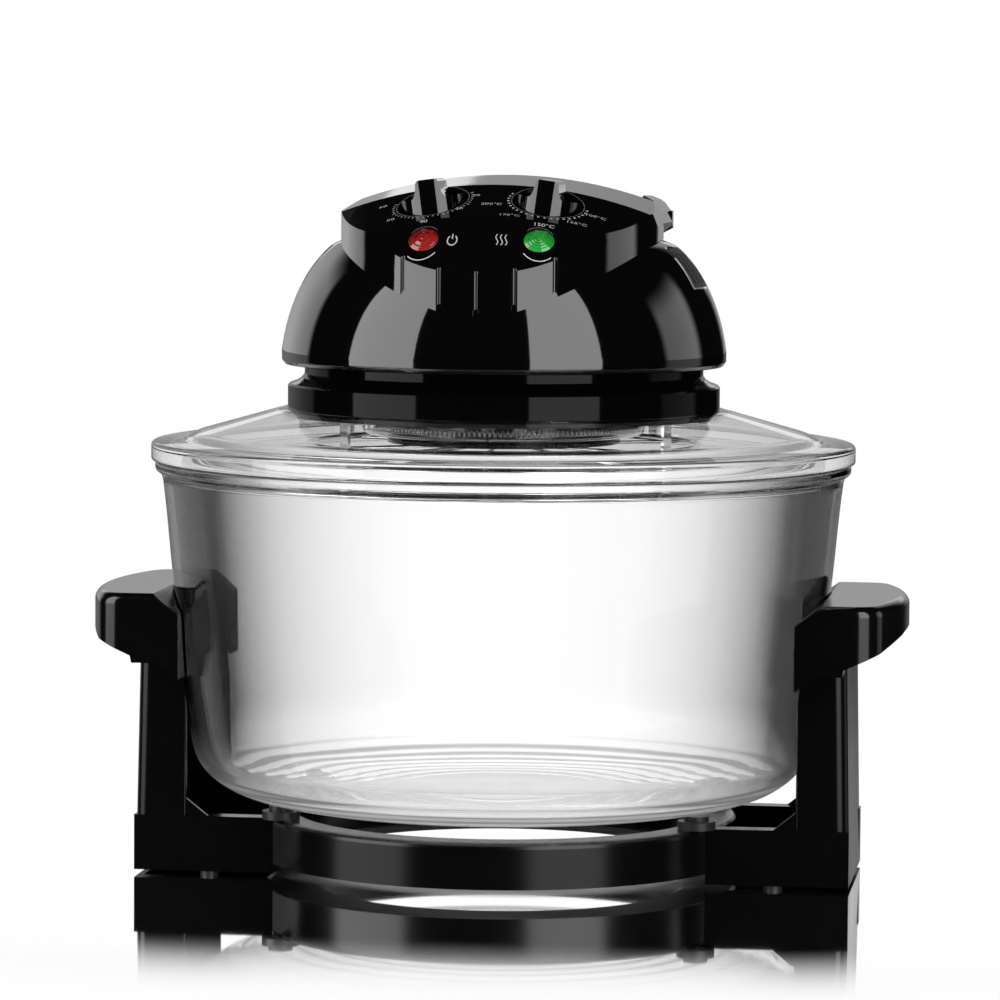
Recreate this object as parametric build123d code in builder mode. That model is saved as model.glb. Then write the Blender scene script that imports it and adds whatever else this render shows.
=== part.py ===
"""Countertop halogen oven: a round glass bowl on a two-handled stand, with a
glass lid carrying the motor head. Millimetres, +Z up, floor at z = 0 under
the oven's axis, the control panel faces -Y."""

import os
from math import asin, cos, hypot, radians, sin, tan

from build123d import *

os.makedirs("parts", exist_ok=True)

# ---------------------------------------------------------------- dimensions
# fits
run_fit = 0.05          # radial clearance of a turning or sliding fit
lay_gap = 0.3           # gap between pieces that lift off one another
bowl_room = 0.8         # room between the bowl and the stand around it

# bowl: the radii of its outer profile are set back from the mouth
bowl_lip_r = 173.2
bowl_top_z = 205.0
bowl_mouth_r = bowl_lip_r - 3.8
bowl_wall = 4.0
bowl_profile = [(0, 35.0)] + [(bowl_mouth_r - inset, z) for inset, z in (
    (109.4, 35.0), (77.4, 35.2), (54.4, 37.0), (39.4, 40.2), (31.9, 43.2),
    (26.2, 46.8), (21.2, 51.2), (17.5, 56.6), (14.8, 65.0), (12.0, 84.0),
    (8.0, 120.0), (3.8, 160.0), (1.0, 188.0), (0.0, 196.0))]

# stand
foot_z = 2.0            # underside of the side frames
ring_z = 7.0            # underside of the base ring
deck_z = 29.5           # top of the base ring and of the side feet
ring_r = bowl_mouth_r - 51.4    # base ring, outside; it sits under the bowl's heel
ring_in_r = ring_r - 17.0       # base ring, inside
ring_lip_r = ring_r - 26.0      # inner edge of the ring's floor plate
ring_wall = 2.5
arm_top_x = bowl_lip_r + 2.0    # outer face of a side frame under its grip
arm_x = arm_top_x + 2.3         # and at its foot
arm_in_x = arm_top_x - 24.0     # inner edge of a side frame
arm_y = 48.0            # half depth of a side frame
arm_wall = 2.8
arm_round = 6.0         # outer corners of the uprights
arm_top_z = 107.5       # where the grip's screws hold it
arm_top_rise = 3.5      # the joint climbs to the outside
arm_top_drop = 8.0      # and falls toward the bowl
bar_t = 10.0            # thickness of the foot bars
bar_splay = 1.4         # how far their inner ends stand out fore and aft
web_t = 3.0             # gusset over each foot bar
web_run, web_rise = 10.8, 8.6
foot_x, foot_y = arm_in_x - 11.0, arm_y - 4.5
foot_r, foot_peg_r = 4.6, 2.5
grip_x = arm_top_x + 27.6       # outermost point of a grip
grip_z = 141.5          # top of a grip
grip_lip_z = 124.5      # lower edge of a grip's outer side
grip_roll = 5.0         # rounding of its top edge
grip_wall = 3.6
grip_roof = 4.5
grip_y = 70.0           # half depth of a grip
grip_bow = 104.0        # how gently its outer edge bows
grip_screw_x, grip_screw_y = arm_top_x - 6.7, 32.0
screw_r, screw_head_r = 1.8, 3.4
pad_ring_r, pad_angle = ring_r - 3.5, 25.9
pad_x = pad_ring_r * cos(radians(pad_angle))
pad_y = pad_ring_r * sin(radians(pad_angle))
pad_r = 9.3
pad_peg_r = 3.0
pad_top_z = 36.0

# lid
collar_r = 107.5
collar_in_r = collar_r - 10.8
neck_r = collar_r - 8.3
lid_r = bowl_lip_r + 2.0
lid_skirt_r = bowl_mouth_r - bowl_wall - 1.8    # skirt that drops inside the bowl
lid_z = bowl_top_z + lay_gap
lid_top_z = 215.6
lid_hole_r = collar_r - 1.5
lid_hub_z = 231.3       # top of the glass round its hole
lid_t = 3.5
collar_top_z = 243.6
neck_z = 248.5
deck2_z = 254.5         # underside of the head's deck plate
deck2_t = 2.5

# head dome: outer profile from its lower edge to its crown
dome_r = collar_r + 3.1
dome_profile = [(dome_r - inset, z) for inset, z in (
    (1.7, 253.2), (0.1, 255.4), (0.0, 260.0), (0.8, 265.0), (2.7, 274.5),
    (4.5, 280.0), (6.6, 286.0), (9.4, 292.0), (14.0, 300.0), (20.0, 307.6),
    (26.6, 313.4), (34.6, 316.4), (50.6, 318.2), (80.6, 318.8))] + [(0.0, 319.0)]
dome_wall = 2.8
vent_z0, vent_z1 = 293.0, 312.0
vent_a0, vent_a1 = 75.0, 118.0
vent_pitch = 3.6        # degrees between slots

# head block: the raised housing that carries the panel
block_x = 78.5          # half width, where the bowed front meets the sides
block_front = 106.0
block_mid_y = -15.6     # centre of the oval front
block_rear = 80.0
block_narrow_x = 70.7   # half width behind the step, beside the carry handle
block_step_y = 7.0
block_wall = 2.6
crown_z = 127.0         # level axis the top is turned about, side to side
crown_top = 347.2
dial_slope = 20.0
lens_slope = 44.5
break_y, break_z = -78.5, 328.1     # where the two panel slopes meet
shoulder = [(80.0, 262.0), (80.0, 300.0), (79.3, 316.0), (78.0, 325.0), (76.0, 331.5),
            (71.5, 335.8), (62.0, 340.2), (0.0, 352.0)]
panel_x = 69.0          # half width of the panel insert
seam_y, seam_corner_y = -35.8, -41.6    # its rear edge, in the middle and at the sides
dial_x, dial_y = 28.2, -55.3
lens_x, lens_y = 28.0, -87.9
lens_r = 7.5
well_r, well_d = 17.0, 8.0      # level-floored pocket each knob stands in
well_wall = 2.2
knob_r = 15.0
knob_skirt = 2.0        # skirt height above the panel
knob_top = 10.9         # top of the finger bar above the panel
spindle_r = 3.0
bush_r = 5.0
bush_z = well_d + well_wall     # top of a switch body below the panel
flute_r = 1.4

# carry handle
bail_y, bail_z = 22.0, 327.0
bail_in_x, bail_out_x = 71.5, 77.2
bail_boss_r = 8.5
bail_rear = 95.0
bail_shoulder = [(75.5, 312.0), (76.6, 318.0), (77.2, 323.5), (75.8, 329.0),
                 (70.6, 334.6), (65.5, 337.2)]
pin_r = 3.0
pin_cap = 2.0           # handle wall left over the end of each pin
cam_r, cam_off = 4.6, 1.5   # lobe on the left pin, for the safety switch
cam_gap = 0.6
cam_x0, cam_x1 = -60.0, -56.0

# lamp and fans
axle_r = 4.0
pan_roof_z = 241.5
lamp_r, lamp_tube_r = 66.0, 4.5
lamp_z = 219.5
guard_r, guard_z, guard_wire_r = collar_r - 10.5, 209.4, 2.0
strap_w, strap_t = 6.6, 1.6      # straps that carry the guard
shroud_r, shroud_t = 58.0, 1.2   # ring between the fan and the lamp
screw_ring_r, screw_a0 = collar_r - 6.5, 88.0
pan_t = 1.5
cap_side = 11.6         # square ends of the lamp
filament_r = 1.9
fan_r, cool_r = 46.0, 44.0
post_r = 2.5

# cord gland at the rear of the dome
gland_z = 268.0
gland_r, gland_bore_r = 6.5, 3.6
gland_y = dome_r - 20.6


# ------------------------------------------------------------------- helpers
def offset_profile(points, amount):
    """The profile moved sideways by amount along its own normals."""
    out = []
    for i, (r, z) in enumerate(points):
        r0, z0 = points[max(i - 1, 0)]
        r1, z1 = points[min(i + 1, len(points) - 1)]
        run = hypot(r1 - r0, z1 - z0)
        out.append((r - amount * (z1 - z0) / run, z + amount * (r1 - r0) / run))
    if points[0][0] == 0:
        out[0] = (0, points[0][1] + amount)
    if points[-1][0] == 0:
        out[-1] = (0, points[-1][1] - abs(amount))
    return out


def lathe(points, mode=Mode.ADD):
    """Turn a closed polygon of (radius, height) about the oven's axis."""
    with BuildSketch(Plane.XZ) as section:
        with BuildLine():
            Polyline(*points, close=True)
        make_face()
    revolve(section.sketch, axis=Axis.Z, mode=mode)


def lathe_curve(curve, rest, mode=Mode.ADD):
    """Turn a section made of one smooth curve closed by straight lines."""
    with BuildSketch(Plane.XZ) as section:
        with BuildLine():
            Spline(*curve)
            Polyline(curve[-1], *rest, curve[0])
        make_face()
    revolve(section.sketch, axis=Axis.Z, mode=mode)


def lathe_skin(curve, wall, mode=Mode.ADD):
    """Turn a smooth skin of even thickness; wall is measured inward."""
    inner = offset_profile(curve, wall)
    with BuildSketch(Plane.XZ) as section:
        with BuildLine():
            Spline(*curve)
            Line(curve[-1], inner[-1])
            Spline(*inner[::-1])
            Line(inner[0], curve[0])
        make_face()
    revolve(section.sketch, axis=Axis.Z, mode=mode)


def prism(points, z0, z1, mode=Mode.ADD):
    """A straight prism over a closed plan polygon."""
    with BuildSketch(Plane.XY.offset(z0)) as plan:
        with BuildLine():
            Polyline(*points, close=True)
        make_face()
    extrude(plan.sketch, amount=z1 - z0, mode=mode)


def rod(x, y, z0, z1, r, mode=Mode.ADD):
    """An upright round bar."""
    with BuildSketch(Plane.XY.offset(z0)) as plan:
        with Locations((x, y)):
            Circle(r)
    extrude(plan.sketch, amount=z1 - z0, mode=mode)


def rod_on(plane, r, z0, z1, mode=Mode.ADD):
    """A round bar along a plane's normal, from z0 to z1 above it."""
    with BuildSketch(plane.offset(z0)) as plan:
        Circle(r)
    extrude(plan.sketch, amount=z1 - z0, mode=mode)


def block(x0, x1, y0, y1, z0, z1, mode=Mode.ADD):
    """A plain box between two corners."""
    with Locations(((x0 + x1) / 2, (y0 + y1) / 2, (z0 + z1) / 2)):
        Box(x1 - x0, y1 - y0, z1 - z0, mode=mode)


def round_edges(radius, z, beyond):
    """Round the part's level edges at height z that lie outside a half width."""
    level = edges().filter_by(lambda e: abs(e.bounding_box().min.Z - z) < 0.01
                              and abs(e.bounding_box().max.Z - z) < 0.01)
    fillet(level.filter_by(lambda e: abs(e.center().X) > beyond), radius=radius)


def round_uprights(radius, least_x, least_y, tall):
    """Round the part's steep edges beyond a half width and a half depth."""
    steep = edges().filter_by(lambda e: e.bounding_box().size.Z > tall)
    fillet(steep.filter_by(lambda e: abs(e.center().X) > least_x
                           and abs(e.center().Y) > least_y), radius=radius)


def polar(r, angle):
    """A plan point at an angle from the front (-Y), positive to the right."""
    return (r * sin(radians(angle)), -r * cos(radians(angle)))


def wedge(r, a0, a1, z0, z1, mode=Mode.ADD):
    """A slice of a round cake, between two angles measured from the front."""
    steps = 6
    rim = [polar(r, a0 + (a1 - a0) * i / steps) for i in range(steps + 1)]
    prism([(0, 0)] + rim, z0, z1, mode)


def panel_plane(x, y, slope, tilt):
    """The plane on the panel at a plan point; tilt leans its normal to the front."""
    rho = break_z + (y - break_y) * tan(radians(slope)) - crown_z
    lean, fore = asin(x / rho), radians(tilt)
    return Plane(origin=(x, y, crown_z + rho * cos(lean)),
                 x_dir=(cos(lean), 0, -sin(lean)),
                 z_dir=(sin(lean) * cos(fore), -sin(fore), cos(lean) * cos(fore)))


def block_plan(inset):
    """Plan of the head block: oval front, narrower rear with room for the handle."""
    w, n, mid = block_x - inset, block_narrow_x - inset, block_mid_y
    b, s = block_rear - inset, block_step_y - inset
    with BuildSketch(Plane.XY.offset(262)) as plan:
        with BuildLine():
            EllipticalCenterArc((0, mid), w, block_front + mid - inset,
                                start_angle=180, arc_size=180)
            Polyline((w, mid), (w, s), (n, s + 4), (n, 52))
            ThreePointArc((n, 52), (0, b), (-n, 52))
            Polyline((-n, 52), (-n, s + 4), (-w, s), (-w, mid))
        make_face()
        fillet(plan.vertices().filter_by(lambda v: v.Y > 50), radius=10 - inset)
    return plan.sketch


def block_solid(inset):
    """The head block's volume, drawn in by inset on every face."""
    drop = inset * 1.12
    extrude(block_plan(inset), amount=100)
    toe = block_front + 10
    front_z = break_z - (toe + break_y) * tan(radians(lens_slope))
    side = [
        (-toe, crown_z), (-toe, front_z - drop), (break_y, break_z - drop),
        (-38, break_z + (-38 - break_y) * tan(radians(dial_slope)) - drop),
        (8, crown_top - drop), (52, 340 - drop), (84, 314 - drop), (92, crown_z),
    ]
    with BuildSketch(Plane.YZ) as profile:
        with BuildLine():
            Polyline(*side, close=True)
        make_face()
        top = profile.vertices().filter_by(lambda v: v.Z > 305)
        fillet(top.filter_by(lambda v: -100 < v.Y < 20), radius=40)
        fillet(profile.vertices().filter_by(lambda v: v.Z > 305 and v.Y > 30), radius=18)
    revolve(profile.sketch, axis=Axis((0, 0, crown_z), (0, 1, 0)), mode=Mode.INTERSECT)
    # rounded shoulders, side to side
    right = [(x - inset, z - (drop if z > 300 else 0)) for x, z in shoulder[:-1]]
    with BuildSketch(Plane.XZ) as profile:
        with BuildLine():
            Polyline(*right[:2])
            Spline(*right[1:])
            Polyline(right[-1], (0, shoulder[-1][1]), (-right[-1][0], right[-1][1]))
            Spline(*[(-x, z) for x, z in right[:0:-1]])
            Polyline((-right[1][0], right[1][1]), (-right[0][0], right[0][1]), right[0])
        make_face()
    extrude(profile.sketch, amount=130, both=True, mode=Mode.INTERSECT)
    # behind the step the shoulders draw in further, inside the carry handle
    wide, low, high = block_x + 20, shoulder[0][1], crown_top + 13
    for s in (-1, 1):
        with BuildSketch(Plane.XZ.offset(-(block_step_y + 4 - inset))) as cut:
            with BuildLine():
                Polyline((s * (block_narrow_x - inset), low), (s * wide, low), (s * wide, high),
                         (s * (40 - inset), high), (s * (52 - inset), 341 - drop),
                         (s * (62.8 - inset), 335.4 - drop), (s * (68.9 - inset), 329.7 - drop),
                         (s * (block_narrow_x - inset), 324.7 - drop), close=True)
            make_face()
        extrude(cut.sketch, amount=-120, mode=Mode.SUBTRACT)


# -------------------------------------------------------------- construction
# volumes the visible pieces are cut from
with BuildPart() as dome_volume:
    lathe_curve(dome_profile, [(0, 253.2)])

with BuildPart() as block_volume:
    block_solid(0)

with BuildPart() as block_hollow:
    block_solid(block_wall)

with BuildPart() as bowl_clearance:
    wide = offset_profile(bowl_profile, -bowl_room)
    wide[0] = (0, bowl_profile[0][1] - bowl_room)
    lathe_curve(wide, [(wide[-1][0], 260), (0, 260)])

# --------------------------------------------------------------------- stand
with BuildPart() as base_ring:
    t = ring_wall
    lathe([
        (ring_in_r, ring_z + t), (ring_in_r, deck_z - 2), (ring_in_r + 2, deck_z),
        (ring_r - 3, deck_z), (ring_r - 1.5, deck_z - 0.4), (ring_r - 0.4, deck_z - 1.5),
        (ring_r, deck_z - 3), (ring_r, ring_z), (ring_r - t, ring_z),
        (ring_r - t, deck_z - t - 1), (ring_r - t - 1, deck_z - t),
        (ring_in_r + t + 1, deck_z - t), (ring_in_r + t, deck_z - t - 1),
        (ring_in_r + t, ring_z + t),
    ])
    for sx in (-1, 1):
        for sy in (-1, 1):
            rod(sx * pad_x, sy * pad_y, deck_z - 8, deck_z, pad_peg_r, Mode.SUBTRACT)

with BuildPart() as ring_cover:
    lathe([
        (ring_lip_r, ring_z), (ring_r - ring_wall, ring_z),
        (ring_r - ring_wall, ring_z + ring_wall), (ring_lip_r, ring_z + ring_wall),
    ])


def joint_line(s, outer_x, inner_x, lower=0.0):
    """The line between an upright and its grip, from the outside in."""
    z, flat = arm_top_z - lower, 6.0
    return [(s * outer_x, z + (arm_top_rise if not lower else 0)),
            (s * (grip_screw_x + (flat if not lower else 1)), z),
            (s * (grip_screw_x - flat), z), (s * inner_x, z - arm_top_drop)]


def side_frame(s):
    """One side of the stand: an open-backed upright on a two-barred foot."""
    top_x, low_x = arm_top_x, arm_x
    with BuildSketch(Plane.XZ.offset(-arm_y)) as front:
        with BuildLine():
            Polyline((s * arm_in_x, foot_z), (s * low_x, foot_z),
                     *joint_line(s, top_x, arm_in_x), close=True)
        make_face()
    extrude(front.sketch, amount=2 * arm_y)
    round_uprights(arm_round, arm_top_x - 5, arm_y - 1, 60)
    round_uprights(1.2, arm_in_x - 1, arm_y - 1, 60)
    # hollow behind the outer, front, rear and top walls
    w = arm_wall
    with BuildSketch(Plane.XZ.offset(-(arm_y - w))) as core:
        with BuildLine():
            Polyline(
                (s * (arm_in_x - 5), foot_z - 5), (s * (low_x - w), foot_z - 5),
                *joint_line(s, top_x - w, arm_in_x - 2, w),
                (s * (arm_in_x - 5), arm_top_z - w - arm_top_drop - 1), close=True)
        make_face()
    extrude(core.sketch, amount=2 * (arm_y - w), mode=Mode.SUBTRACT)
    for sy in (-1, 1):
        # foot bar, its inner end standing out a little, and the gusset over it
        bar_in, bar_out = ring_r - 20, arm_x - 0.1
        face = arm_y + bar_splay
        prism([(s * bar_in, sy * face), (s * bar_out, sy * arm_y),
               (s * bar_out, sy * (arm_y - bar_t)), (s * bar_in, sy * (face - bar_t))],
              foot_z, deck_z)
        with BuildSketch(Plane.XZ.offset(-sy * arm_y if sy > 0 else arm_y - web_t)) as web:
            with BuildLine():
                Polyline((s * (arm_in_x - web_run), deck_z), (s * arm_in_x, deck_z),
                         (s * arm_in_x, deck_z + web_rise), close=True)
            make_face()
        extrude(web.sketch, amount=web_t)
    lathe([(0, 0), (ring_r, 0), (ring_r, 60), (0, 60)], Mode.SUBTRACT)
    for sy in (-1, 1):
        rod(s * grip_screw_x, sy * grip_screw_y, arm_top_z - 10, arm_top_z + 1, screw_r,
            Mode.SUBTRACT)
        rod(s * foot_x, sy * foot_y, foot_z - 1, foot_z + 5, foot_peg_r, Mode.SUBTRACT)


with BuildPart() as side_frame_left:
    side_frame(-1)
    add(bowl_clearance.part, mode=Mode.SUBTRACT)

with BuildPart() as side_frame_right:
    side_frame(1)
    add(bowl_clearance.part, mode=Mode.SUBTRACT)


def half_oval(s, a, b, depth, z, corner):
    """A bowed outline standing out sideways from the stand, squared off fore and aft."""
    with BuildSketch(Plane.XY.offset(z)) as plan:
        with Locations((s * arm_in_x, 0)):
            Ellipse(a, b)
        with Locations((s * (arm_in_x + 100), 0)):
            Rectangle(200, 2 * depth, mode=Mode.INTERSECT)
        if corner:
            outer = plan.vertices().filter_by(lambda v: abs(v.X) > arm_in_x + 5)
            fillet(outer, radius=corner)
    return plan.sketch


def grip(s):
    """A moulded hand grip: bowed rim rolled over at the top, hollow for the fingers."""
    a, low_z = grip_x - arm_in_x, arm_top_z - arm_top_drop
    extrude(half_oval(s, a, grip_bow, grip_y, low_z, 14), amount=grip_z - low_z)
    round_edges(radius=grip_roll, z=grip_z, beyond=arm_in_x + 12)
    # seen from the front: a dip toward the bowl, a tucked-in underside, the joint below
    with BuildSketch(Plane.XZ.offset(-grip_bow)) as front:
        with BuildLine():
            Polyline(*joint_line(s, arm_top_x, arm_in_x),
                     (s * arm_in_x, grip_z - 10), (s * (arm_in_x + 13), grip_z + 0.01),
                     (s * (grip_x + 1), grip_z + 0.01), (s * (grip_x + 1), grip_lip_z + 3),
                     (s * (grip_x - 1.8), grip_lip_z), (s * (grip_x - 10.8), grip_lip_z - 6),
                     close=True)
        make_face()
    extrude(front.sketch, amount=2 * grip_bow, mode=Mode.INTERSECT)
    # finger hollow, open below, outboard of the upright
    with BuildSketch(Plane.XY.offset(arm_top_z - 1)) as hollow:
        with Locations((s * arm_in_x, 0)):
            Ellipse(a - grip_wall, grip_bow - grip_wall)
        with Locations((s * (arm_top_x + 100), 0)):
            Rectangle(200, 2 * (arm_y - 4), mode=Mode.INTERSECT)
    extrude(hollow.sketch, amount=grip_z - grip_roof - arm_top_z + 1, mode=Mode.SUBTRACT)
    for sy in (-1, 1):
        rod(s * grip_screw_x, sy * grip_screw_y, arm_top_z - 1, arm_top_z + 12, screw_r,
            Mode.SUBTRACT)


with BuildPart() as grip_left:
    grip(-1)
    add(bowl_clearance.part, mode=Mode.SUBTRACT)

with BuildPart() as grip_right:
    grip(1)
    add(bowl_clearance.part, mode=Mode.SUBTRACT)

with BuildPart() as bowl_pads:
    for sx in (-1, 1):
        for sy in (-1, 1):
            rod(sx * pad_x, sy * pad_y, deck_z, pad_top_z - 2.5, pad_r)
            rod(sx * pad_x, sy * pad_y, pad_top_z - 2.5, pad_top_z, 6.0)
            rod(sx * pad_x, sy * pad_y, deck_z - 6, deck_z, pad_peg_r)

with BuildPart() as floor_feet:
    for sx in (-1, 1):
        for sy in (-1, 1):
            rod(sx * foot_x, sy * foot_y, 0, foot_z, foot_r)
            rod(sx * foot_x, sy * foot_y, foot_z, foot_z + 5, foot_peg_r)

with BuildPart() as grip_screws:
    for sx in (-1, 1):
        for sy in (-1, 1):
            x, y, under = sx * grip_screw_x, sy * grip_screw_y, arm_top_z - arm_wall
            rod(x, y, under - 2, under, screw_head_r)
            rod(x, y, under, arm_top_z + 12, screw_r)

# ---------------------------------------------------------------------- bowl
with BuildPart() as glass_bowl:
    lathe_skin(bowl_profile, bowl_wall)
    r_in = offset_profile(bowl_profile, bowl_wall)[-1][0]
    neck_of_lip = bowl_profile[-1][1]
    lathe([(r_in, neck_of_lip), (bowl_mouth_r, neck_of_lip),
           (bowl_mouth_r + 0.8, neck_of_lip + 2.6), (bowl_lip_r, neck_of_lip + 4.6),
           (bowl_lip_r, bowl_top_z), (r_in, bowl_top_z)])

# ---------------------------------------------------------------------- head
with BuildPart() as glass_lid:
    lathe([
        (lid_r, lid_z), (lid_r, lid_top_z - 2), (lid_r - 1.6, lid_top_z - 0.3),
        (lid_skirt_r - 4.6, lid_top_z + 0.5), (lid_skirt_r - 11, 219.2),
        (collar_r + 2.5, lid_hub_z), (lid_hole_r, lid_hub_z),
        (lid_hole_r, lid_hub_z - lid_t), (collar_r + 2.5, lid_hub_z - lid_t),
        (lid_skirt_r - 12.4, 215.9), (lid_skirt_r - 7.6, 212.8), (lid_skirt_r - 3.4, 212),
        (lid_skirt_r - 3.4, 199.5), (lid_skirt_r, 199.5), (lid_skirt_r, lid_z),
    ])

with BuildPart() as collar_ring:
    lathe([
        (collar_in_r, lid_hub_z - lid_t), (lid_hole_r - lay_gap, lid_hub_z - lid_t),
        (lid_hole_r - lay_gap, lid_hub_z), (collar_r, lid_hub_z),
        (collar_r, collar_top_z - 1), (collar_r - 1, collar_top_z),
        (collar_r - 4.5, 244.8), (collar_r - 6.9, 246.4), (neck_r, neck_z), (collar_in_r, neck_z),
    ])
    for k in range(3):
        x, y = polar(screw_ring_r, screw_a0 + 120 * k)
        rod(x, y, lid_hub_z - lid_t - 1, lid_hub_z + 5, screw_r, Mode.SUBTRACT)

with BuildPart() as neck_housing:
    lathe([
        (collar_in_r, neck_z), (neck_r, neck_z), (neck_r, deck2_z),
        (collar_r - 1, deck2_z), (collar_r - 1, deck2_z + deck2_t), (20, deck2_z + deck2_t), (20, deck2_z),
        (collar_in_r, deck2_z),
    ])
    # air slots round the back and sides of the neck
    for k in range(36):
        a = 70 + 220 * k / 35
        x, y = polar(neck_r - 1.2, a)
        with Locations(Location((x, y, (neck_z + deck2_z) / 2), (0, 0, a))):
            Box(2.4, 8, 3.6, mode=Mode.SUBTRACT)

gland_axis = Plane(origin=(0, gland_y, gland_z), x_dir=(1, 0, 0), z_dir=(0, 1, 0))
with BuildPart() as dome_cover:
    lathe_skin(dome_profile, dome_wall)
    extrude(block_plan(block_wall + 1.9), amount=100, mode=Mode.SUBTRACT)
    wedge(140, vent_a0, vent_a1, vent_z0, vent_z1, Mode.SUBTRACT)
    wedge(140, -vent_a0, -vent_a1, vent_z0, vent_z1, Mode.SUBTRACT)
    rod_on(gland_axis, gland_r, 0, 30, Mode.SUBTRACT)


def vent_grille(s):
    """A louvred piece of the dome's skin, set in its rear quarter."""
    lathe_skin(dome_profile, dome_wall)
    wedge(140, s * vent_a0, s * vent_a1, vent_z0, vent_z1, Mode.INTERSECT)
    extrude(block_plan(block_wall + 1.9), amount=100, mode=Mode.SUBTRACT)
    for k in range(int((vent_a1 - vent_a0 - 3) / vent_pitch)):
        a = s * (vent_a0 + 3 + vent_pitch * k)
        wedge(140, a - 0.85, a + 0.85, vent_z0 + 2, vent_z1 - 2.5, Mode.SUBTRACT)


with BuildPart() as vent_grille_left:
    vent_grille(-1)

with BuildPart() as vent_grille_right:
    vent_grille(1)

dial_planes = [panel_plane(s * dial_x, dial_y, dial_slope, 0) for s in (-1, 1)]
lens_planes = [panel_plane(s * lens_x, lens_y, lens_slope, lens_slope) for s in (-1, 1)]

with BuildPart() as panel_reach:
    with BuildSketch(Plane.XY.offset(255)) as insert_plan:
        with BuildLine():
            Polyline((panel_x, seam_corner_y), (panel_x, -130), (-panel_x, -130),
                     (-panel_x, seam_corner_y))
            ThreePointArc((-panel_x, seam_corner_y), (0, seam_y), (panel_x, seam_corner_y))
        make_face()
        fillet(insert_plan.vertices().filter_by(lambda v: v.Y > -60), radius=5)
    extrude(insert_plan.sketch, amount=105)

with BuildPart() as knob_cups:
    for plane in dial_planes:
        rod_on(plane, well_r + well_wall, -bush_z, 20)
    add(block_volume.part, mode=Mode.INTERSECT)
    add(panel_reach.part, mode=Mode.INTERSECT)

with BuildPart() as control_panel:
    add(block_volume.part)
    add(block_hollow.part, mode=Mode.SUBTRACT)
    add(dome_volume.part, mode=Mode.SUBTRACT)
    add(panel_reach.part, mode=Mode.INTERSECT)
    add(knob_cups.part)
    for plane in dial_planes:
        rod_on(plane, well_r, -well_d, 30, Mode.SUBTRACT)
        rod_on(plane, bush_r, -bush_z - 1, 1, Mode.SUBTRACT)
    for plane in lens_planes:
        rod_on(plane, lens_r, -6, 4, Mode.SUBTRACT)
    # five shallow flutes down the front band
    for a in (-28, -13.5, 0, 13.5, 28):
        x = block_x * sin(radians(a))
        y = block_mid_y - (block_front + block_mid_y) * cos(radians(a))
        rod(x, y, 262, 345, flute_r, Mode.SUBTRACT)

with BuildPart() as top_cover:
    add(block_volume.part)
    add(block_hollow.part, mode=Mode.SUBTRACT)
    add(dome_volume.part, mode=Mode.SUBTRACT)
    add(panel_reach.part, mode=Mode.SUBTRACT)
    bore = Plane(origin=(-80, bail_y, bail_z), x_dir=(0, 1, 0), z_dir=(1, 0, 0))
    rod_on(bore, pin_r + run_fit, 0, 160, Mode.SUBTRACT)


def lens(plane):
    """A round lens with a softly domed face."""
    rod_on(plane, lens_r, -2.4, 0.5)
    rod_on(plane, lens_r - 1.0, 0.5, 1.2)
    rod_on(plane, lens_r - 2.6, 1.2, 1.7)


with BuildPart() as power_lens:
    lens(lens_planes[0])

with BuildPart() as heat_lens:
    lens(lens_planes[1])

with BuildPart() as indicator_lamps:
    for plane in lens_planes:
        rod_on(plane, 3.6, -12, -2.4)


def switch_unit(plane, r, depth):
    """A rotary switch body hung under the panel by its threaded bush."""
    rod_on(plane, r, -depth, -bush_z)
    rod_on(plane, bush_r, -bush_z, -well_d)
    rod_on(plane, spindle_r + run_fit, -depth + 6, 1, Mode.SUBTRACT)


with BuildPart() as timer_unit:
    switch_unit(dial_planes[0], 17.0, 27.0)

with BuildPart() as thermostat_unit:
    switch_unit(dial_planes[1], 13.5, 24.0)


def knob(plane):
    """A round knob with a tall finger bar across it, flared into its skirt."""
    half = [(8.4, knob_skirt - 0.5), (7.3, knob_skirt + 0.9), (6.5, knob_skirt + 2.6),
            (5.9, knob_skirt + 5.4), (5.6, knob_top - 1.4), (4.8, knob_top - 0.3),
            (3.6, knob_top)]
    across = Plane(origin=plane.origin - plane.y_dir * 30, x_dir=-plane.x_dir,
                   z_dir=plane.y_dir)
    with BuildSketch(across) as bar:
        with BuildLine():
            Polyline(*half, *[(-x, z) for x, z in half[::-1]], close=True)
        make_face()
    extrude(bar.sketch, amount=60)
    rod_on(plane, knob_r, -well_d, 20, Mode.INTERSECT)
    rod_on(plane, knob_r, -well_d + 0.5, knob_skirt)
    rod_on(plane, spindle_r, -well_d, 8.0, Mode.SUBTRACT)


with BuildPart() as timer_knob:
    knob(dial_planes[0])

with BuildPart() as thermostat_knob:
    knob(dial_planes[1])

with BuildPart() as timer_spindle:
    rod_on(dial_planes[0], spindle_r, -20, 8.0)

with BuildPart() as thermostat_spindle:
    rod_on(dial_planes[1], spindle_r, -17, 8.0)

# -------------------------------------------------------------- carry handle
def plan_prism(points, z0, z1, mode=Mode.ADD):
    """A prism over the right half of a plan outline and its mirror image."""
    prism(points + [(-x, y) for x, y in points[::-1]], z0, z1, mode)


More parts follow.
